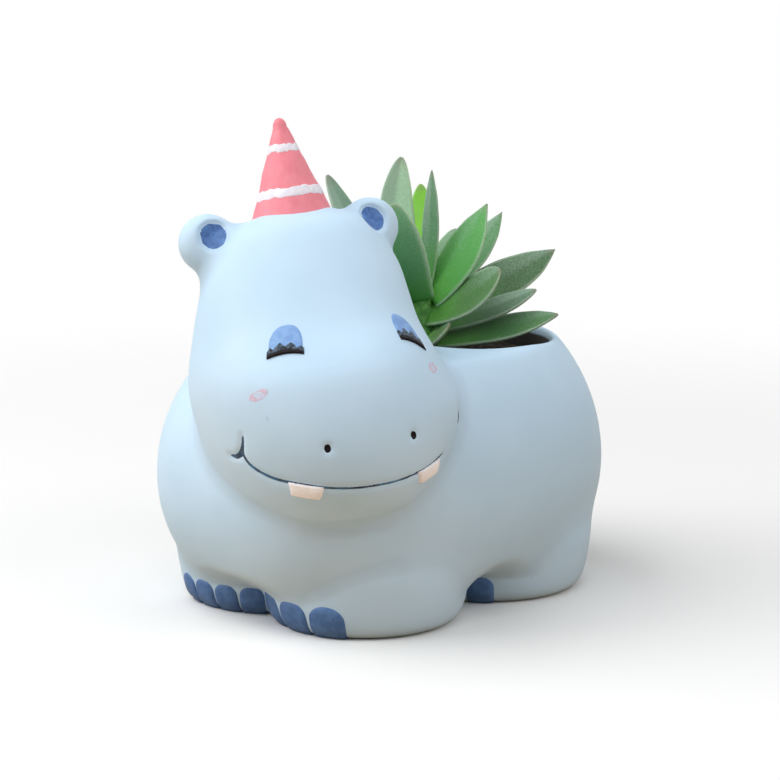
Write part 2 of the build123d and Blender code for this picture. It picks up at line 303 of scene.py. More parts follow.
def voxelSkin(mesh):
    rough = bpy.data.objects.new("castRaw", mesh)
    bpy.context.scene.collection.objects.link(rough)
    remesh = rough.modifiers.new("skin", "REMESH")
    remesh.mode, remesh.voxel_size, remesh.adaptivity = "VOXEL", hippoSet["voxel"], 0.0
    bpy.context.view_layer.update()
    skin = bpy.data.meshes.new_from_object(rough.evaluated_get(bpy.context.evaluated_depsgraph_get()))
    bpy.data.objects.remove(rough)
    return skin


def undercut(skin, reach):  # the belly stays back above the nails, down to the V between two feet
    co = np.zeros(len(skin.vertices) * 3)
    skin.vertices.foreach_get("co", co)
    co = co.reshape(-1, 3) / mm
    footX, footY = hippoSet["feet"]["rearLeft"]
    radius = np.interp(co[:, 2], [r[0] for r in reach], [r[1] for r in reach])
    radius += np.interp(co[:, 2], *zip(*hippoSet["bellyBack"]))
    dx, dy = np.abs(co[:, 0]) - footX, np.abs(co[:, 1]) - footY
    corner = np.minimum(1, radius / np.maximum(np.hypot(dx, dy), 0.1))

    def limit(aside):
        return np.sqrt(np.clip(radius**2 - aside**2, 0, None))

    newX = np.where(dy > 0, dx * np.where(dx > 0, corner, 1), np.minimum(dx, limit(dy)))
    newY = np.where(dx > 0, dy * np.where(dy > 0, corner, 1), np.minimum(dy, limit(dx)))
    co[:, 0] = np.sign(co[:, 0]) * (newX + footX)
    co[:, 1] = np.sign(co[:, 1]) * (newY + footY)
    skin.vertices.foreach_set("co", (co * mm).ravel())
    skin.update()


def castSkin(reach):
    body = bmesh.new()
    body.from_mesh(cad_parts["pot_body"].data)
    bmesh.ops.remove_doubles(body, verts=body.verts, dist=0.00001)
    forms = [skullMesh(), earMesh(1), earMesh(-1)] + [footRing(s, reach) for s in hippoSet["feet"].values()]
    for points, faces in forms:
        made = [body.verts.new(p) for p in points]
        for face in faces:
            body.faces.new([made[i] for i in face])
    bmesh.ops.recalc_face_normals(body, faces=body.faces)
    raw = bpy.data.meshes.new("castRaw")
    body.to_mesh(raw)
    body.free()
    skin = voxelSkin(raw)
    undercut(skin, reach)
    return voxelSkin(skin)


def relax(skin, valleyRounds, allRounds):  # fills the creases and keeps the ridges
    count = len(skin.vertices)
    co = np.zeros(count * 3)
    skin.vertices.foreach_get("co", co)
    co = co.reshape(-1, 3)
    ends = np.zeros(len(skin.edges) * 2, int)
    skin.edges.foreach_get("vertices", ends)
    a, b = ends[0::2], ends[1::2]
    valence = np.bincount(np.concatenate([a, b]), minlength=count)[:, None]

    def pull(field):
        sums = [np.bincount(a, field[b, k], count) + np.bincount(b, field[a, k], count) for k in range(3)]
        return np.stack(sums, 1) / valence - field

    def normals():
        skin.vertices.foreach_set("co", co.ravel())
        skin.update()
        out = np.zeros(count * 3)
        skin.vertices.foreach_get("normal", out)
        return out.reshape(-1, 3)

    floor = co[:, 2] < 0.4 * mm
    rising = np.clip((co[:, 2] / mm - 9) / 6, 0, 1)  # toes stay crisp
    local = (co - np.array(headFrame.translation)) @ np.array(headFrame.to_3x3())
    sections = np.array(hippoSet["sections"], float)
    height = np.clip(local[:, 2] / mm, 0, 88)
    half, front, back = (np.interp(height, sections[:, 0], sections[:, k]) * mm for k in (1, 2, 3))
    reach = np.where(local[:, 1] > 0, back, front)
    oval = np.sqrt((local[:, 0] / (half / 2)) ** 2 + (local[:, 1] / reach) ** 2)
    chin = np.clip((height - 66) / 8, 0, 1)  # the ears blend in, the neck keeps its crease
    rising = rising * np.maximum(np.clip((oval - 1.06) / 0.25, hippoSet["neckFill"], 1), chin)
    for round in range(allRounds):
        step = pull(co) * 0.5
        step[floor, 2] = 0
        co = co + step
        co = co - pull(co) * 0.46  # gives the lost volume back
    # creaseShade adds up how far each point is pushed out of a crease; the resin colour uses it as painted
    # shade
    creaseShade = np.zeros(count)
    for round in range(valleyRounds):
        if round % 4 == 0:
            out = normals()
        step = pull(co)
        rise = (step * out).sum(1)
        share = np.where(rise > 0, 0.85 * rising, 0.03 * rising)[:, None]
        step = step * share
        step[floor, 2] = 0
        co = co + step
        creaseShade += np.clip(rise, 0, None)
    co[:, 2] = np.maximum(co[:, 2], 0)
    normals()
    return creaseShade


resin, resinShader, start = newFinish("blueResin", 0.55, 0.35)
hippo = newPiece("hippoCast", [], [])
footRows = footReach()
hippo.data = castSkin(footRows)
creaseShade = relax(hippo.data, hippoSet["valleyRounds"], hippoSet["allRounds"])
hippo.data.name = "hippoCast"
print("hippo skin:", len(hippo.data.vertices), "points")


def groove(skin, path, width, depth):  # presses a soft groove along a path of points
    co = np.zeros(len(skin.vertices) * 3)
    out = np.zeros_like(co)
    skin.vertices.foreach_get("co", co)
    skin.vertices.foreach_get("normal", out)
    co, out = co.reshape(-1, 3), out.reshape(-1, 3)
    near = np.full(len(co), 1.0)
    for point in path:
        near = np.minimum(near, ((co - np.array(point)) ** 2).sum(1))
    co -= out * (depth * np.exp(-near / (2 * width**2)))[:, None]
    skin.vertices.foreach_set("co", co.ravel())
    skin.update()


def press(skin, spot, radius, depth):  # presses a round hollow into the skin
    co = np.zeros(len(skin.vertices) * 3)
    skin.vertices.foreach_get("co", co)
    co = co.reshape(-1, 3)
    turn = np.array(spot.to_3x3())
    local = (co - np.array(spot.translation)) @ turn
    away = np.sqrt(local[:, 0] ** 2 + local[:, 1] ** 2) / radius
    share = np.where(local[:, 2] > -0.006, np.clip(1 - away**3, 0, 1) ** 0.7, 0)
    co -= turn[:, 2] * (depth * share)[:, None]
    skin.vertices.foreach_set("co", co.ravel())
    skin.update()


for sign in (1, -1):
    press(hippo.data, dishCentre(sign), hippoSet["dishRadius"] * mm, hippoSet["dishDepth"] * mm)
skinTree = treeOf(hippo)


def onFace(x, z):  # the point of the face straight ahead of a place on the face plane
    hit, normal, *rest = skinTree.ray_cast(headPoint(x, -75, z), backAxis, 0.2)
    return hit, normal


def roundFace(angle, z):  # the point of the face at an angle from straight ahead
    way = -backAxis * math.cos(math.radians(angle)) + leftAxis * math.sin(math.radians(angle))
    hit, normal, *rest = skinTree.ray_cast(headPoint(0, -8, z), way, 0.08)
    return hit, normal


# painted face
def patch(name, grid, finish, depth=0.5):  # closed thin piece from rows of (point, normal, lift in mm)
    rows, count = len(grid), len(grid[0])
    top = [p + n * (lift * mm) for row in grid for p, n, lift in row]
    under = [p - n * (depth * mm) for row in grid for p, n, lift in row]
    size, faces = rows * count, []
    for r in range(rows - 1):
        for c in range(count - 1):
            i = r * count + c
            faces.append((i, i + 1, i + count + 1, i + count))
            faces.append((size + i + count, size + i + count + 1, size + i + 1, size + i))
    edge = ([(0, c) for c in range(count)] + [(r, count - 1) for r in range(1, rows)]
            + [(rows - 1, c) for c in range(count - 2, -1, -1)] + [(r, 0) for r in range(rows - 2, 0, -1)])
    ids = [r * count + c for r, c in edge]
    for i, j in zip(ids, ids[1:] + ids[:1]):
        faces.append((i, size + i, size + j, j))
    piece = newPiece(name, top + under, faces, finish)
    fixed = bmesh.new()
    fixed.from_mesh(piece.data)
    bmesh.ops.recalc_face_normals(fixed, faces=fixed.faces)
    fixed.to_mesh(piece.data)
    fixed.free()
    return piece


def flatFinish(name, under, over, roughness, scale, bump=0.05):  # paint in two tones, brushed
    finish, shader, start = newFinish(name, roughness, 0.35)
    tone = speckle(start, scale, 3.0)
    mottle = ramp(start, tone, 0.35, 0.68)
    feed(shader, "Base Color", blendColour(start, mottle, linear(*under), linear(*over)))
    feed(shader, "Roughness", roughness - 0.08 + tone * 0.16)
    feed(shader, "Normal", bumpFrom(start, speckle(start, scale * 4), bump, 0.0004))
    return finish


lidBlue = flatFinish("lidBlue", (112, 150, 205), (130, 168, 216), 0.55, 420)
lineNavy = flatFinish("lineNavy", (34, 56, 80), (64, 116, 156), 0.5, 260)
cheekPink, cheekShader, start = newFinish("cheekPink", 0.6, 0.3)
brush, rim = speckle(start, 700, 3.0), painted(start, "cheekMap")
blush = blendColour(start, ramp(start, brush, 0.35, 0.65), linear(246, 214, 226), linear(244, 196, 214))
feed(cheekShader, "Base Color", blush)
line = ramp(start, rim, 0.25, 0.66) * (1 - ramp(start, rim, 0.7, 1.0))
fade = line * (0.4 + 0.6 * painted(start, "cheekMap", 1)) + 0.3 * (1 - rim)
feed(cheekShader, "Alpha", fade * (0.55 + brush * 0.9) * 0.6)
toothIvory = flatFinish("toothIvory", (244, 238, 240), (253, 249, 250), 0.45, 500)
nailBlue = flatFinish("nailBlue", (68, 104, 156), (84, 122, 174), 0.5, 300)
earBlue = flatFinish("earBlue", (60, 98, 158), (86, 128, 188), 0.5, 420)

lashDark, lashShader, start = newFinish("lashDark", 0.6, 0.1)
height, blot = painted(start, "lashMap"), speckle(start, 1100, 3.0)
smoky = blendColour(start, ramp(start, blot, 0.36, 0.62), linear(34, 40, 42), linear(88, 104, 122))
lashTone = blendColour(start, ramp(start, height + blot * 0.25, 0.34, 0.5), linear(24, 18, 22), smoky)
feed(lashShader, "Base Color", lashTone)
feed(lashShader, "Roughness", 0.42 + blot * 0.2)

sides = {"Left": 1, "Right": -1}
faceSet = {"eyes": {"Left": ((15.3, 48.7), (22.6, 44.8), (17.7, 55.2)),  # inner corner, outer corner, top
                    "Right": ((-13.2, 48.5), (-22.2, 48.5), (-14.9, 56.7))},
           "lashPeaks": ((-0.86, 0.45, 0.22), (-0.28, 0.85, 0.34), (0.34, 1.0, 0.36), (0.84, 0.7, 0.22)),
           "arch": 0.9,
           "cheeks": {"Left": (23.3, 39.3, 1.8, 1.8), "Right": (-26.5, 38.9, 2.5, 1.7)},
           "nostrilX": 12.2, "nostrilZ": 22.2, "nostrilHalf": (0.9, 1.2), "smileEnd": (23.6, 15.2),
           "mouth": [(0.0, 10.0), (10.0, 10.8), (19.0, 13.2), (25.6, 16.2), (29.5, 20.0), (31.4, 23.8)],
           "tooth": (13.6, 21.4, 3.5)}


def lidSpot(side, u, rise):  # u: inner to outer corner, rise: lash line to the top of the lid
    inner, outer, apex = (np.array(p) for p in faceSet["eyes"][side])
    foot = (inner + outer) / 2 + (outer - inner) / 2 * u
    lift = apex - (inner + outer) / 2
    return foot + lift * (rise + (1 - u * u) * faceSet["arch"] / lift[1])


for side, sign in sides.items():
    node = side.lower()
    grid = []
    for v in np.linspace(0, 1, 15):
        row = []
        for u in np.linspace(-1, 1, 29):
            dome = (1 - abs(u) ** 3) ** 0.35 * 0.9 + 0.02
            spot, normal = onFace(*lidSpot(side, u, dome * v))
            crest = (1 - abs(u) ** 6) * (1 - v**8)
            row.append((spot, normal, -0.12 + 0.5 * crest**0.5))
        grid.append(row)
    lid = patch("eyelid" + side, grid, lidBlue)
    finishPiece(lid, "planter", "lid_blue", "eyelid_" + node)

    grid, heights = [], []
    for v in np.linspace(0, 1, 8):
        row = []
        for u in np.linspace(-1, 1, 61):
            shares = [(max(0.0, 1 - abs(u - at) / wide), top) for at, top, wide in faceSet["lashPeaks"]]
            peak = max(share**0.8 * top for share, top in shares)
            jag = 0.25 * noise.noise(Vector((u * 9, sign * 4.0, 0)))
            rise = 0.95 + 0.35 * (1 - u * u) + (1.7 + jag) * peak
            low = -0.35 - 0.15 * (1 - u * u)
            tall = faceSet["eyes"][side][2][1] - faceSet["eyes"][side][0][1]
            spot, normal = onFace(*lidSpot(side, u * 1.03, (low + (rise - low) * v) / tall))
            row.append((spot, normal, 0.26 + 0.34 * (1 - v**4) * (1 - abs(u) ** 8)))
            heights.append(((low + (rise - low) * v + 0.5) / 3.4, 0, 0, 1))
        grid.append(row)
    lash = patch("eyelash" + side, grid, lashDark)
    colourOn(lash.data, "lashMap", heights * 2)
    finishPiece(lash, "planter", "lash_dark", "eyelash_" + node)
print("eyes done")

for side, sign in sides.items():  # a small ring brushed in pink, thin at its edges
    node = side.lower()
    cheekX, cheekZ, halfWide, halfTall = faceSet["cheeks"][side]
    grid, fades = [], []
    for t in np.linspace(0.05, 1, 9):
        row = []
        for a in np.linspace(0, 2 * math.pi, 41):
            x = cheekX + halfWide * t * math.cos(a)
            z = cheekZ + halfTall * t * math.sin(a) - sign * 0.25 * halfWide * t * math.cos(a)
            spot, normal = onFace(x, z)
            row.append((spot, normal, 0.06))
            fades.append((t, 0.5 + 0.5 * math.sin(a * 2 + 0.6), 0, 1))
        grid.append(row)
    ring = patch("cheekMark" + side, grid, cheekPink, 0.3)
    colourOn(ring.data, "cheekMap", fades * 2)
    finishPiece(ring, "planter", "cheek_pink", "cheek_mark_" + node)

for sign in sides.values():
    centre, out = onFace(sign * faceSet["nostrilX"], faceSet["nostrilZ"])
    groove(hippo.data, [centre], 0.95 * mm, 0.9 * mm)
skinTree = treeOf(hippo)
halfWide, halfTall = faceSet["nostrilHalf"]
for side, sign in sides.items():
    node = side.lower()
    grid = []
    for t in np.linspace(0.03, 1, 8):
        row = []
        for a in np.linspace(0, 2 * math.pi, 25):
            x = sign * faceSet["nostrilX"] + halfWide * t * math.cos(a)
            spot, normal = onFace(x, faceSet["nostrilZ"] + halfTall * t * math.sin(a))
            row.append((spot, normal, 0.12 - 0.14 * t**6))
        grid.append(row)
    dot = patch("nostril" + side, grid, lashDark, 0.4)
    finishPiece(dot, "planter", "line_navy", "nostril_" + node)

rightHalf = [(-x, z) for x, z in reversed(faceSet["mouth"][1:])]
smile = through(rightHalf + faceSet["mouth"][:3] + [faceSet["smileEnd"]], 97)
hookSet = {1: ((62.4, 28.4), (64.0, 26.6), (65.4, 24.6), (65.0, 22.6)),  # angle and height
           -1: ((60.3, 28.2), (62.3, 25.6), (65.0, 23.8), (69.5, 22.8), (75.0, 23.2))}
hooks = [through([(sign * a, z) for a, z in hookSet[sign]], 17) for sign in (1, -1)]
smilePath = [onFace(x, z) for x, z in smile]
hookPaths = [[roundFace(a, z) for a, z in hook] for hook in hooks]
groove(hippo.data, [p for p, n in smilePath], 0.8 * mm, 0.45 * mm)
for path in hookPaths:
    groove(hippo.data, [p for p, n in path], 0.8 * mm, 0.6 * mm)
skinTree = treeOf(hippo)


def stroke(path, widths, lift):  # rows across a painted line that follows points on the skin
    rows = []
    for i, (spot, normal) in enumerate(path):
        ahead = path[min(i + 1, len(path) - 1)][0] - path[max(i - 1, 0)][0]
        across = ahead.cross(normal).normalized()
        row = []
        for t in np.linspace(-1, 1, 5):
            near, out, *rest = skinTree.find_nearest(spot + across * (t * widths[i] / 2 * mm))
            row.append((near, out, lift * (1 - t**4) - 0.02))
        rows.append(row)
    return rows


widths = [0.62 + 0.65 * max(0.0, 1 - i / 48) ** 1.5 + 0.06 * math.sin(i * 0.9) for i in range(97)]
mouth = patch("mouthLine", stroke(smilePath, widths, 0.14), lineNavy, 0.4)
finishPiece(mouth, "planter", "line_navy", "mouth_line")
for side, path in zip(("Left", "Right"), hookPaths):
    wide = [0.35 + 1.0 * math.sin(math.pi * i / 16) ** 0.8 for i in range(17)]
    hook = patch("mouthCorner" + side, stroke(path, wide, 0.14), lineNavy, 0.4)
    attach(hook, "planter")

mouthRun = np.array(through(faceSet["mouth"], 60))
for side, sign in sides.items():
    node = side.lower()
    inner, outer, drop = faceSet["tooth"]
    grid = []
    for v in np.linspace(0, 1, 11):
        row = []
        for u in np.linspace(0, 1, 17):
            x = inner + (outer - inner) * u + 0.8 * (v - 0.5) * (1 - 2 * u)
            z = np.interp(x, mouthRun[:, 0], mouthRun[:, 1]) + 0.35 - v * drop
            spot, normal = onFace(sign * x, z)
            body = (1 - abs(2 * u - 1) ** 10) ** 0.5 * (1 - max(0, 2 * v - 1) ** 8) ** 0.5
            row.append((spot, normal, -0.2 + 1.1 * body))
        grid.append(row)
    tooth = patch("tooth" + side, grid, toothIvory, 0.6)
    finishPiece(tooth, "planter", "tooth_ivory", "tooth_" + node)
print("face done")

# ear paint
for side, sign in sides.items():
    node = side.lower()
    spot = dishCentre(sign)
    out = (spot.to_3x3() @ Vector((0, 0, 1))).normalized()
    grid = []
    for t in np.linspace(0.02, 1, 9):
        row = []
        for a in np.linspace(0, 2 * math.pi, 49):
            edge = 3.75 + 0.12 * math.sin(a * 3 + sign) + 0.06 * math.sin(a * 7)
            where = spot @ (Vector((edge * t * math.cos(a), edge * t * math.sin(a), 14)) * mm)
            hit, normal, *rest = skinTree.ray_cast(where, -out, 0.05)
            row.append((hit, normal, 0.15 * (1 - t**6) - 0.03))
        grid.append(row)
    dish = patch("earPaint" + side, grid, earBlue, 0.3)
    finishPiece(dish, "planter", "ear_blue", "inner_ear_" + node)

# toenails
nailSet = {  # foot: node, nails, pitch, turn, half width, top
    "frontLeft": ("toenails_front_left", 3, 24.0, -1.8, 5.9, 10.3),
    "frontRight": ("toenails_front_right", 4, 16.7, 6.6, 4.15, 9.2),
    "rearLeft": ("toenails_rear_left", 1, 0.0, 36.3, 4.5, 9.2),
    "rearRight": ("toenails_rear_right", 1, 0.0, -36.3, 4.5, 9.2),
}


def nailGrid(x, y, angle, half, top):
    grid = []
    for v in np.linspace(0, 1, 15):
        row = []
        for u in np.linspace(-1, 1, 19):
            arch = half * 0.95 * (1 - max(0.0, 1 - abs(u) ** 2.2) ** 0.5)
            z = 0.3 + (top - arch - 0.3) * v
            reach = np.interp(z, [r[0] for r in footRows], [r[1] for r in footRows])
            way = math.radians(angle + u * math.degrees(half / 29.0))
            out = Vector((math.sin(way), -math.cos(way), 0))
            pillow = (1 - abs(u) ** 4) ** 0.5 * (1 - v**6) ** 0.5
            row.append((Vector((x, y, z)) * mm + out * (reach * mm), out, -0.15 + 1.0 * pillow))
        grid.append(row)
    return grid


for foot, (node, count, pitch, turn, half, top) in nailSet.items():
    points, faces = [], []
    for step in range(count):
        angle = turn + pitch * (step - (count - 1) / 2)
        nail = patch("nail", nailGrid(*hippoSet["feet"][foot], angle, half, top), None, 0.6)
        base = len(points)
        points += [v.co.copy() for v in nail.data.vertices]
        faces += [tuple(base + i for i in p.vertices) for p in nail.data.polygons]
        bpy.data.objects.remove(nail)
    nails = newPiece("toenails" + foot[0].upper() + foot[1:], points, faces, nailBlue)
    finishPiece(nails, "planter", "nail_blue", node)
print("ears and nails done")

# party hat
hatSet = {"offset": (0.1, 4.0), "level": 85.6, "radius": 12.5, "height": 30.2, "tip": 1.0,
          "stripes": {"Lower": (7.1, 9.9), "Upper": (20.2, 22.6)}}
hatFrame = headFrame.copy()
hatFrame.translation = headPoint(*hatSet["offset"], hatSet["level"])
hatSlope = (hatSet["radius"] - hatSet["tip"]) / hatSet["height"]


def hatPoint(angle, z, lift=0.0):
    r = hatSet["radius"] - hatSlope * z
    end = hatSet["height"] - 2.6
    if z > end:  # the rounded tip
        r = (hatSet["radius"] - hatSlope * end) * math.sqrt(max(0.0, 1 - ((z - end) / 2.7) ** 2))
    wobble = noise.noise(Vector((math.cos(angle) * 1.3, math.sin(angle) * 1.3, z * 0.16))) * 0.35
    wobble += noise.noise(Vector((math.cos(angle) * 5, math.sin(angle) * 5, z * 0.5 + 9))) * 0.12
    r = max(0.02, r + (wobble if z < end else wobble * 0.3) + lift)
    return hatFrame @ (Vector((r * math.cos(angle), r * math.sin(angle), z)) * mm)


hatCoral, hatShader, start = newFinish("hatCoral", 0.55, 0.35)
tone, grain = speckle(start, 260, 4.0, 0.6), speckle(start, 1400, 3.0)
hatColour = blendColour(start, ramp(start, tone, 0.2, 0.8), linear(230, 128, 142), linear(238, 144, 156))
hatColour = blendColour(start, ramp(start, grain, 0.62, 0.85) * 0.3, hatColour, linear(246, 184, 190))
feed(hatShader, "Base Color", hatColour)
feed(hatShader, "Roughness", 0.45 + tone * 0.2)
feed(hatShader, "Normal", bumpFrom(start, tone + grain * 0.5, 0.25, 0.0006))
hatWhite = flatFinish("hatWhite", (224, 222, 234), (238, 236, 244), 0.6, 600, 0.2)

angles = np.linspace(0, 2 * math.pi, 96, endpoint=False)
levels = list(np.linspace(-3.5, 27.6, 46)) + [28.2, 28.8, 29.3, 29.7, 30.0, 30.2]
points, faces = tube([[hatPoint(a, z) for a in angles] for z in levels])
hat = newPiece("partyHat", points, faces, hatCoral)
finishPiece(hat, "planter", "hat_coral", "party_hat")
for name, (low, high) in hatSet["stripes"].items():
    rings = []
    for t in (0.0, 0.04, 0.12, 0.3, 0.5, 0.7, 0.88, 0.96, 1.0, 0.7, 0.3):
        ring, under = [], len(rings) > 8
        for a in angles:
            x, y = math.cos(a) * 6, math.sin(a) * 6  # ragged brush edges
            bottom = low + 0.15 * math.sin(a * 5 + low) + noise.noise(Vector((x, y, low))) * 0.5
            top = high + 0.15 * math.sin(a * 6 + high) + noise.noise(Vector((x, y, high))) * 0.5
            lift = -0.6 if under else -0.06 + 0.2 * (1 - abs(2 * t - 1) ** 5) ** 0.5
            ring.append(hatPoint(a, bottom + (top - bottom) * t, lift))
        rings.append(ring)
    points, faces = tube(rings + [rings[0]], closedEnds=False)
    band = newPiece("hatStripe" + name, points, faces, hatWhite)
    finishPiece(band, "planter", "hat_white", "hat_stripe_" + name.lower())
print("hat done")

# hippo finish
creaseShade = np.clip(creaseShade / (1.2 * mm), 0, 1)
co = np.zeros(len(hippo.data.vertices) * 3)
hippo.data.vertices.foreach_get("co", co)
co = co.reshape(-1, 3) / mm
out = np.zeros_like(co).ravel()
hippo.data.vertices.foreach_get("normal", out)
halfWide, halfLong, middle, soilLine = hippoSet["well"]
inWell = (co[:, 0] / halfWide) ** 2 + ((co[:, 1] - middle) / halfLong) ** 2 < 1
inWell = inWell & (co[:, 2] > 12) & (out[2::3] > -0.3)  # not the underside
# the well's inner wall goes near black from just below the rim down to the soil
wellBand = np.where(inWell, np.clip((soilLine - co[:, 2]) / 1.6, 0, 1), 0)
colourOn(hippo.data, "castMap", np.stack([creaseShade, wellBand, creaseShade, np.ones_like(creaseShade)], 1))
start = Sock(resin.node_tree)
cloud, fine, dust = speckle(start, 26, 3.0), speckle(start, 900, 3.0), speckle(start, 160, 1.0)
where = start.make("SeparateXYZ", {}, {0: place(start)}, 2)
colour = blendColour(start, ramp(start, cloud, 0.3, 0.7), linear(186, 214, 236), linear(196, 222, 243))
# painted shade: the resin darkens toward grey-blue in the creases, by creaseShade in castMap red
colour = blendColour(start, painted(start, "castMap") * 0.12, colour, linear(138, 158, 176))
colour = blendColour(start, ramp(start, dust, 0.80, 0.84) * 0.35, colour, linear(120, 140, 160))
wellDarkening = ramp(start, painted(start, "castMap", 1) + cloud * 0.5, 0.4, 0.9)
colour = blendColour(start, wellDarkening, colour, linear(34, 32, 28))
# painted shade where the feet meet the floor, together with grime on the base edge: the bottom 3.5 mm of the
# feet turn grey
footBaseShadeAndGrime = (1 - ramp(start, where + fine * 0.002, 0.0, 0.0035)) * 0.5
colour = blendColour(start, footBaseShadeAndGrime, colour, linear(150, 152, 152))
feed(resinShader, "Base Color", colour)
feed(resinShader, "Roughness", 0.5 + cloud * 0.1 + fine * 0.06)
feed(resinShader, "Normal", bumpFrom(start, fine, 0.06, 0.0003))
hippo.data.materials.clear()
hippo.data.materials.append(resin)
hippo.data.shade_smooth()
finishPiece(hippo, "planter", "blue_resin", "pot_body", "head")
print("hippo done")

# planting
plantSet = {"centre": 16.0, "soilTop": 70.5, "stemTop": 92.0, "stemRadius": 6.0, "stemTip": 2.6}
leafSet = {  # node: heading, root height, reach, tip height, width, roll, bow, tone, frost
    "outer_leaf_1": (32, 74.0, 41.5, 83.2, 13.4, 25, 0, (68, 122, 64), 0.4),
    "outer_leaf_2": (346, 75.5, 14.6, 80.2, 13.0, 45, 0, (100, 138, 80), 0.35),
    "outer_leaf_3": (90, 74.5, 35, 88, 12.4, 15, 0, (80, 130, 80), 0.6),
    "outer_leaf_4": (141, 74, 37, 88, 12.4, 0, 0, (78, 128, 76), 0.5),
    "outer_leaf_5": (194, 74, 33, 86, 12.4, 0, 0, (74, 124, 74), 0.5),
    "middle_leaf_1": (8, 82.5, 28.3, 97.7, 14.8, 50, 3, (72, 118, 56), 0.42),
    "middle_leaf_2": (38, 77.8, 34.4, 89.8, 10.0, 28, 0, (84, 122, 90), 0.7),
    "middle_leaf_3": (66, 82.8, 43.9, 99.0, 13.8, 42, 0, (54, 94, 50), 0.42),
    "middle_leaf_4": (112, 80, 28, 104, 12.4, 10, 0, (86, 142, 78), 0.5),
    "middle_leaf_5": (166, 79, 31, 102, 12.4, 0, 0, (80, 132, 78), 0.5),
    "middle_leaf_6": (250, 80, 20, 98, 11.4, 0, 0, (80, 130, 76), 0.5),
    "inner_leaf_1": (222, 83, 28.7, 123.7, 12.4, -30, 0, (110, 148, 124), 0.85),
    # inner_leaf_2's tone is lifted far past its own green as painted light, that leaf lying dim under the
    # lamps
    "inner_leaf_2": (204, 87.6, 6.8, 129.0, 11.8, -50, 7, (206, 252, 212), 0.8),
    "inner_leaf_3": (86, 86, 33.1, 109.8, 9.4, 40, 0, (84, 142, 88), 0.6),
    # inner_leaf_4's tone is lifted a little as painted light too, for its shaded edge
    "inner_leaf_4": (42, 86.8, 19.3, 115.3, 15.4, 42, 0, (82, 164, 76), 0.35),
    "inner_leaf_5": (281, 87, 15.0, 116.8, 15.4, 10, 3, (100, 168, 106), 0.5),
    "inner_leaf_6": (72, 90.8, 3.1, 125.2, 5.6, 35, 1, (90, 142, 100), 0.75),
    "inner_leaf_7": (136, 91, 16, 119.2, 9.4, 20, 5, (146, 224, 76), 0.1),
}
leafShape = [(0.0, 0.7, 0.95), (0.15, 0.84, 1.05), (0.35, 0.97, 1.05), (0.55, 1.0, 0.95),
             (0.75, 0.85, 0.82), (0.9, 0.55, 0.62), (0.97, 0.3, 0.42), (1.0, 0.1, 0.25)]
leafPoint = {"inner_leaf_4": 1.8, "inner_leaf_3": 1.7, "middle_leaf_3": 1.7,  # sharper tips
             "outer_leaf_1": 1.6, "inner_leaf_6": 1.5, "middle_leaf_2": 1.3}


def stemRadius(z):
    share = max(0.0, (z - plantSet["soilTop"]) / (plantSet["stemTop"] - plantSet["soilTop"]))
    return plantSet["stemRadius"] + (plantSet["stemTip"] - plantSet["stemRadius"]) * min(share, 1.0)


leafGreen, leafShader, start = newFinish("leafGreen", 0.55, 0.35)
along, across, upper = (painted(start, "leafMap", k) for k in range(3))
tone, frost = start.make("Attribute", {"attribute_name": "leafTone"}), painted(start, "leafFrost")
patchy, grain, fuzz = speckle(start, 120, 3.0), speckle(start, 1500, 3.0, 0.65), speckle(start, 4200, 2.0)
fresh = blendColour(start, 0.5, tone, linear(104, 186, 62))
leafy = blendColour(start, ramp(start, along + patchy * 0.3, 0.12, 0.75), fresh, tone)
leafy = blendColour(start, (1 - upper) * 0.15, leafy, linear(36, 72, 36))
edgeGlow = ramp(start, start.maths("ABSOLUTE", across * 2 - 1), 0.8, 1.0)
ridge = ramp(start, across, 0.42, 0.66)  # the half above the fold is powdery
powder = frost * (0.35 + 0.65 * ramp(start, along, 0.25, 1.0)) * (0.5 + 0.5 * upper) * (0.55 + 0.8 * ridge)
powderMask = ramp(start, grain * 0.6 + fuzz * 0.4 + powder * 0.6, 0.5, 1.1)
leafy = blendColour(start, powderMask * 0.75, leafy, linear(160, 188, 170))
leafy = blendColour(start, edgeGlow * 0.6 * (0.4 + grain), leafy, linear(190, 208, 188))
tipAge = ramp(start, along + patchy * 0.12, 0.97, 1.1) * 0.6
leafy = blendColour(start, tipAge, leafy, linear(150, 138, 128))
feed(leafShader, "Base Color", leafy)
feed(leafShader, "Roughness", 0.45 + powderMask * 0.35)
feed(leafShader, "Normal", bumpFrom(start, grain * 0.6 + fuzz * 0.5, 0.35, 0.0005))
leafShader.inputs["Subsurface Weight"].default_value = 0.08
leafShader.inputs["Subsurface Radius"].default_value = (0.002, 0.004, 0.001)


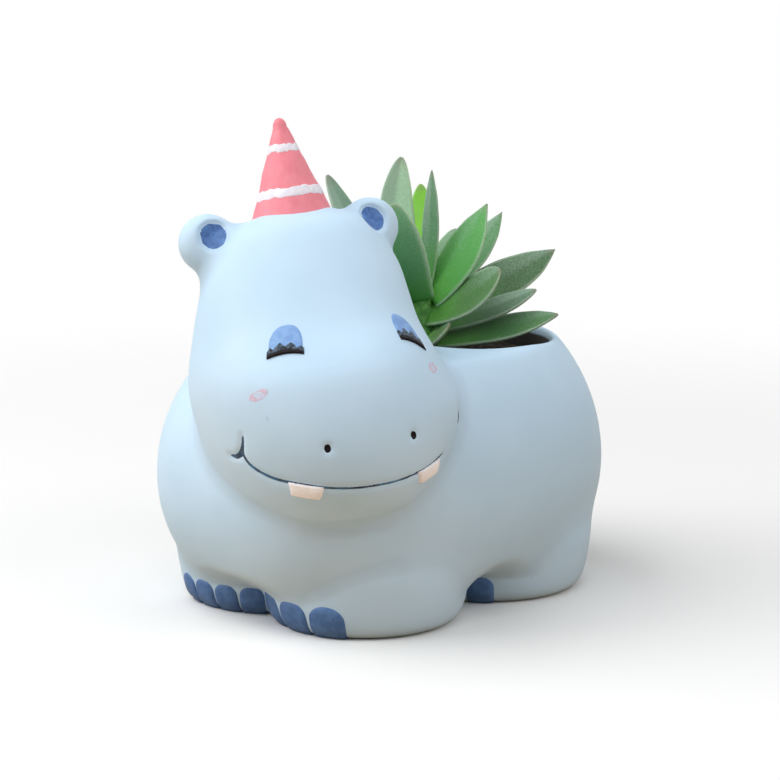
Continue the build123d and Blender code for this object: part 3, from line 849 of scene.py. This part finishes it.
def leafPiece(node, heading, rootZ, reach, tipZ, width, roll, bow, tone, frost):
    turn, tilt = math.radians(heading), math.radians(roll)
    out = Vector((math.cos(turn), math.sin(turn), 0))
    acrossAxis = Vector((-math.sin(turn), math.cos(turn), 0))
    axis = Vector((0, plantSet["centre"], 0))
    root = axis + out * (stemRadius(rootZ) - 1.2) + Vector((0, 0, rootZ))
    tip = axis + out * reach + Vector((0, 0, tipZ))
    bend = root + out * ((tip - root).dot(out) * 0.6 + bow) + Vector((0, 0, (tipZ - rootZ) * 0.4))
    rings, maps = [], []
    count = 28
    for t, breadth, body in through(leafShape, 34):
        t = min(max(t, 0.0), 1.0)
        rest = 1 - t
        spot = root * rest**2 + bend * (2 * rest * t) + tip * t**2
        ahead = ((bend - root) * rest + (tip - bend) * t).normalized()
        faceUp = ahead.cross(acrossAxis)
        flat = acrossAxis * math.cos(tilt) + faceUp * math.sin(tilt)
        up = ahead.cross(flat)
        point = leafPoint.get(node, 1.0) if t > 0.55 else 1.0
        half = width / 2 * max(breadth**point, 0.03)
        thick = 1.5 * body
        ring = []
        for k in range(count):
            a = 2 * math.pi * k / count
            c, s = math.cos(a), math.sin(a)
            side = math.copysign(abs(c) ** 0.85, c)
            dip = 0.35 * (1 - abs(side) ** 2) * breadth if s > 0 else 0
            lift = thick * (0.75 * s if s > 0 else 1.15 * s) - dip
            ripple = 0.10 * noise.noise(Vector((t * 9 + heading, side * 2.5, s))) * breadth
            curl = 0.5 * breadth * side * side
            ring.append((spot + flat * (half * side) + up * (lift + ripple + curl)) * mm)
            maps.append((t, 0.5 + 0.5 * side, 1.0 if s > 0.05 else 0.0, 1))
        rings.append(ring)
    points, faces = tube(rings)
    maps += [(0, 0.5, 0, 1), (1, 0.5, 1, 1)]
    words = node.split("_")
    leaf = newPiece(words[0] + "Leaf" + words[2], points, faces, leafGreen)
    colourOn(leaf.data, "leafMap", maps)
    colourOn(leaf.data, "leafTone", [linear(*tone)] * len(maps))
    colourOn(leaf.data, "leafFrost", [(frost, 0, 0, 1)] * len(maps))
    finishPiece(leaf, "planting", "leaf_green", node)


for node, values in leafSet.items():
    leafPiece(node, *values)
print("leaves done")

stemGreen = flatFinish("stemGreen", (78, 134, 62), (104, 164, 78), 0.6, 500, 0.2)
rings = []
for z in np.linspace(57, plantSet["stemTop"], 30):
    r = stemRadius(z) + 0.35 * math.sin(z * 1.9)
    ring = []
    for a in np.linspace(0, 2 * math.pi, 32, endpoint=False):
        way = Vector((math.cos(a), math.sin(a), 0))
        ring.append((Vector((0, plantSet["centre"], z)) + way * (r + 0.2 * math.sin(3 * a + z))) * mm)
    rings.append(ring)
points, faces = tube(rings)
stem = newPiece("stem", points, faces, stemGreen)
finishPiece(stem, "planting", "stem_green", "stem")

soilDark, soilShader, start = newFinish("pottingSoil", 0.9, 0.2)
lumps = speckle(start, 420, 5.0, 0.6)
grit = start.make("TexVoronoi", {}, {"Vector": place(start), "Scale": 700.0})
soilColour = blendColour(start, ramp(start, lumps, 0.35, 0.7), linear(24, 26, 22), linear(58, 50, 40))
soilColour = blendColour(start, ramp(start, grit, 0.55, 0.8) * 0.35, soilColour, linear(96, 84, 66))
feed(soilShader, "Base Color", soilColour)
feed(soilShader, "Normal", bumpFrom(start, lumps + grit * 0.4, 0.8, 0.0012))


def soilRing(z, share, gap):
    part = (z - 14.0) / (76.5 - 14.0)
    width, reach = 58 + 14 * part - 2 * gap, (40 + 9 * part) / 2 - gap
    return [(x * share, 24.5 + y * share) for x, y in ovalRing(width, reach, reach, 2.5, 72)]


rings = [[Vector((x, y, z)) * mm for x, y in soilRing(z, 1.0, 0.8)] for z in (14.2, 30, 50, 64, 68.5)]
for share in np.linspace(0.98, 0.04, 30):
    ring = []
    for x, y in soilRing(70.0, share, 0.8):
        bump = noise.fractal(Vector((x * 0.35, y * 0.35, 3.0)), 1.0, 2.0, 4) * 0.9
        ring.append(Vector((x, y, 69.6 + bump)) * mm)
    rings.append(ring)
points, faces = tube(rings)
soil = newPiece("soil", points, faces, soilDark)
finishPiece(soil, "planting", "potting_soil", "soil")
print("planting done")

# stage
stageSet = {"az": 44.7, "el": 11.4, "distance": 0.8, "target": (0, 0, 0.0605),
            "lens": 2667 / 780 * 36, "shift": 5 / 780}
floorTone, floorShader, start = newFinish("paleFloor", 0.9, 0.1)
pale = blendColour(start, speckle(start, 3.0), linear(240, 240, 240), linear(244, 244, 243))
feed(floorShader, "Base Color", blendColour(start, start.make("LightPath"), linear(204, 182, 156), pale))
glow = start.make("Emission", {}, {"Color": (1, 1, 1, 1), "Strength": 1.0})
spread = start.make("VectorMath", {"operation": "LENGTH"}, {0: place(start)}, 1)
seen = start.make("LightPath") * ramp(start, spread, 0.12, 0.5)
mixed = start.make("MixShader", {}, {0: seen, 1: Sock(floorTone.node_tree, floorShader.outputs[0]), 2: glow})
floorTone.node_tree.links.new(mixed.out, floorTone.node_tree.nodes["Material Output"].inputs["Surface"])
floor = newPiece("floor", [(-6, -6, 0), (6, -6, 0), (6, 6, 0), (-6, 6, 0)], [(0, 1, 2, 3)], floorTone)

az, el = math.radians(stageSet["az"]), math.radians(stageSet["el"])
camera = bpy.data.cameras.new("camera")
camera.lens, camera.sensor_width, camera.shift_x = stageSet["lens"], 36.0, stageSet["shift"]
camera.clip_start = 0.01
eye = bpy.data.objects.new("camera", camera)
bpy.context.scene.collection.objects.link(eye)
back = Vector((math.sin(az) * math.cos(el), -math.cos(az) * math.cos(el), math.sin(el)))
eye.location = Vector(stageSet["target"]) + back * stageSet["distance"]
eye.rotation_euler = (-back).to_track_quat("-Z", "Y").to_euler()
bpy.context.scene.camera = eye

lampSet = {"key": ((-0.45, -0.5, 0.85), 1.0, 8.2), "low": ((-0.5, -0.75, 0.4), 0.7, 3.0),
           "front": ((0.3, -0.5, 0.9), 0.7, 2.8),
           "side": ((0.75, 0.2, 0.55), 0.6, 3.0), "back": ((-0.1, 0.6, 0.8), 0.8, 1.6)}
for name, (spot, size, power) in lampSet.items():
    lamp = bpy.data.lights.new(name, "AREA")
    lamp.size, lamp.energy = size, power
    holder = bpy.data.objects.new(name, lamp)
    holder.location = spot
    holder.rotation_euler = (Vector((0, 0, 0.06)) - Vector(spot)).to_track_quat("-Z", "Y").to_euler()
    bpy.context.scene.collection.objects.link(holder)

world = bpy.data.worlds.new("world")
bpy.context.scene.world = world
world.use_nodes = True
sky = Sock(world.node_tree)
rays = sky.make("LightPath")
shown = world.node_tree.nodes["Background"]
shown.inputs["Color"].default_value = (1, 1, 1, 1)
mirrored, passed = sky.make("LightPath", {}, {}, 3), sky.make("LightPath", {}, {}, 6)
seen = sky.maths("MAXIMUM", rays, sky.maths("MAXIMUM", mirrored, passed))
feed(shown, "Strength", 0.14 + seen * 0.86)
bpy.context.scene.view_settings.view_transform = "Standard"

print("stage done")
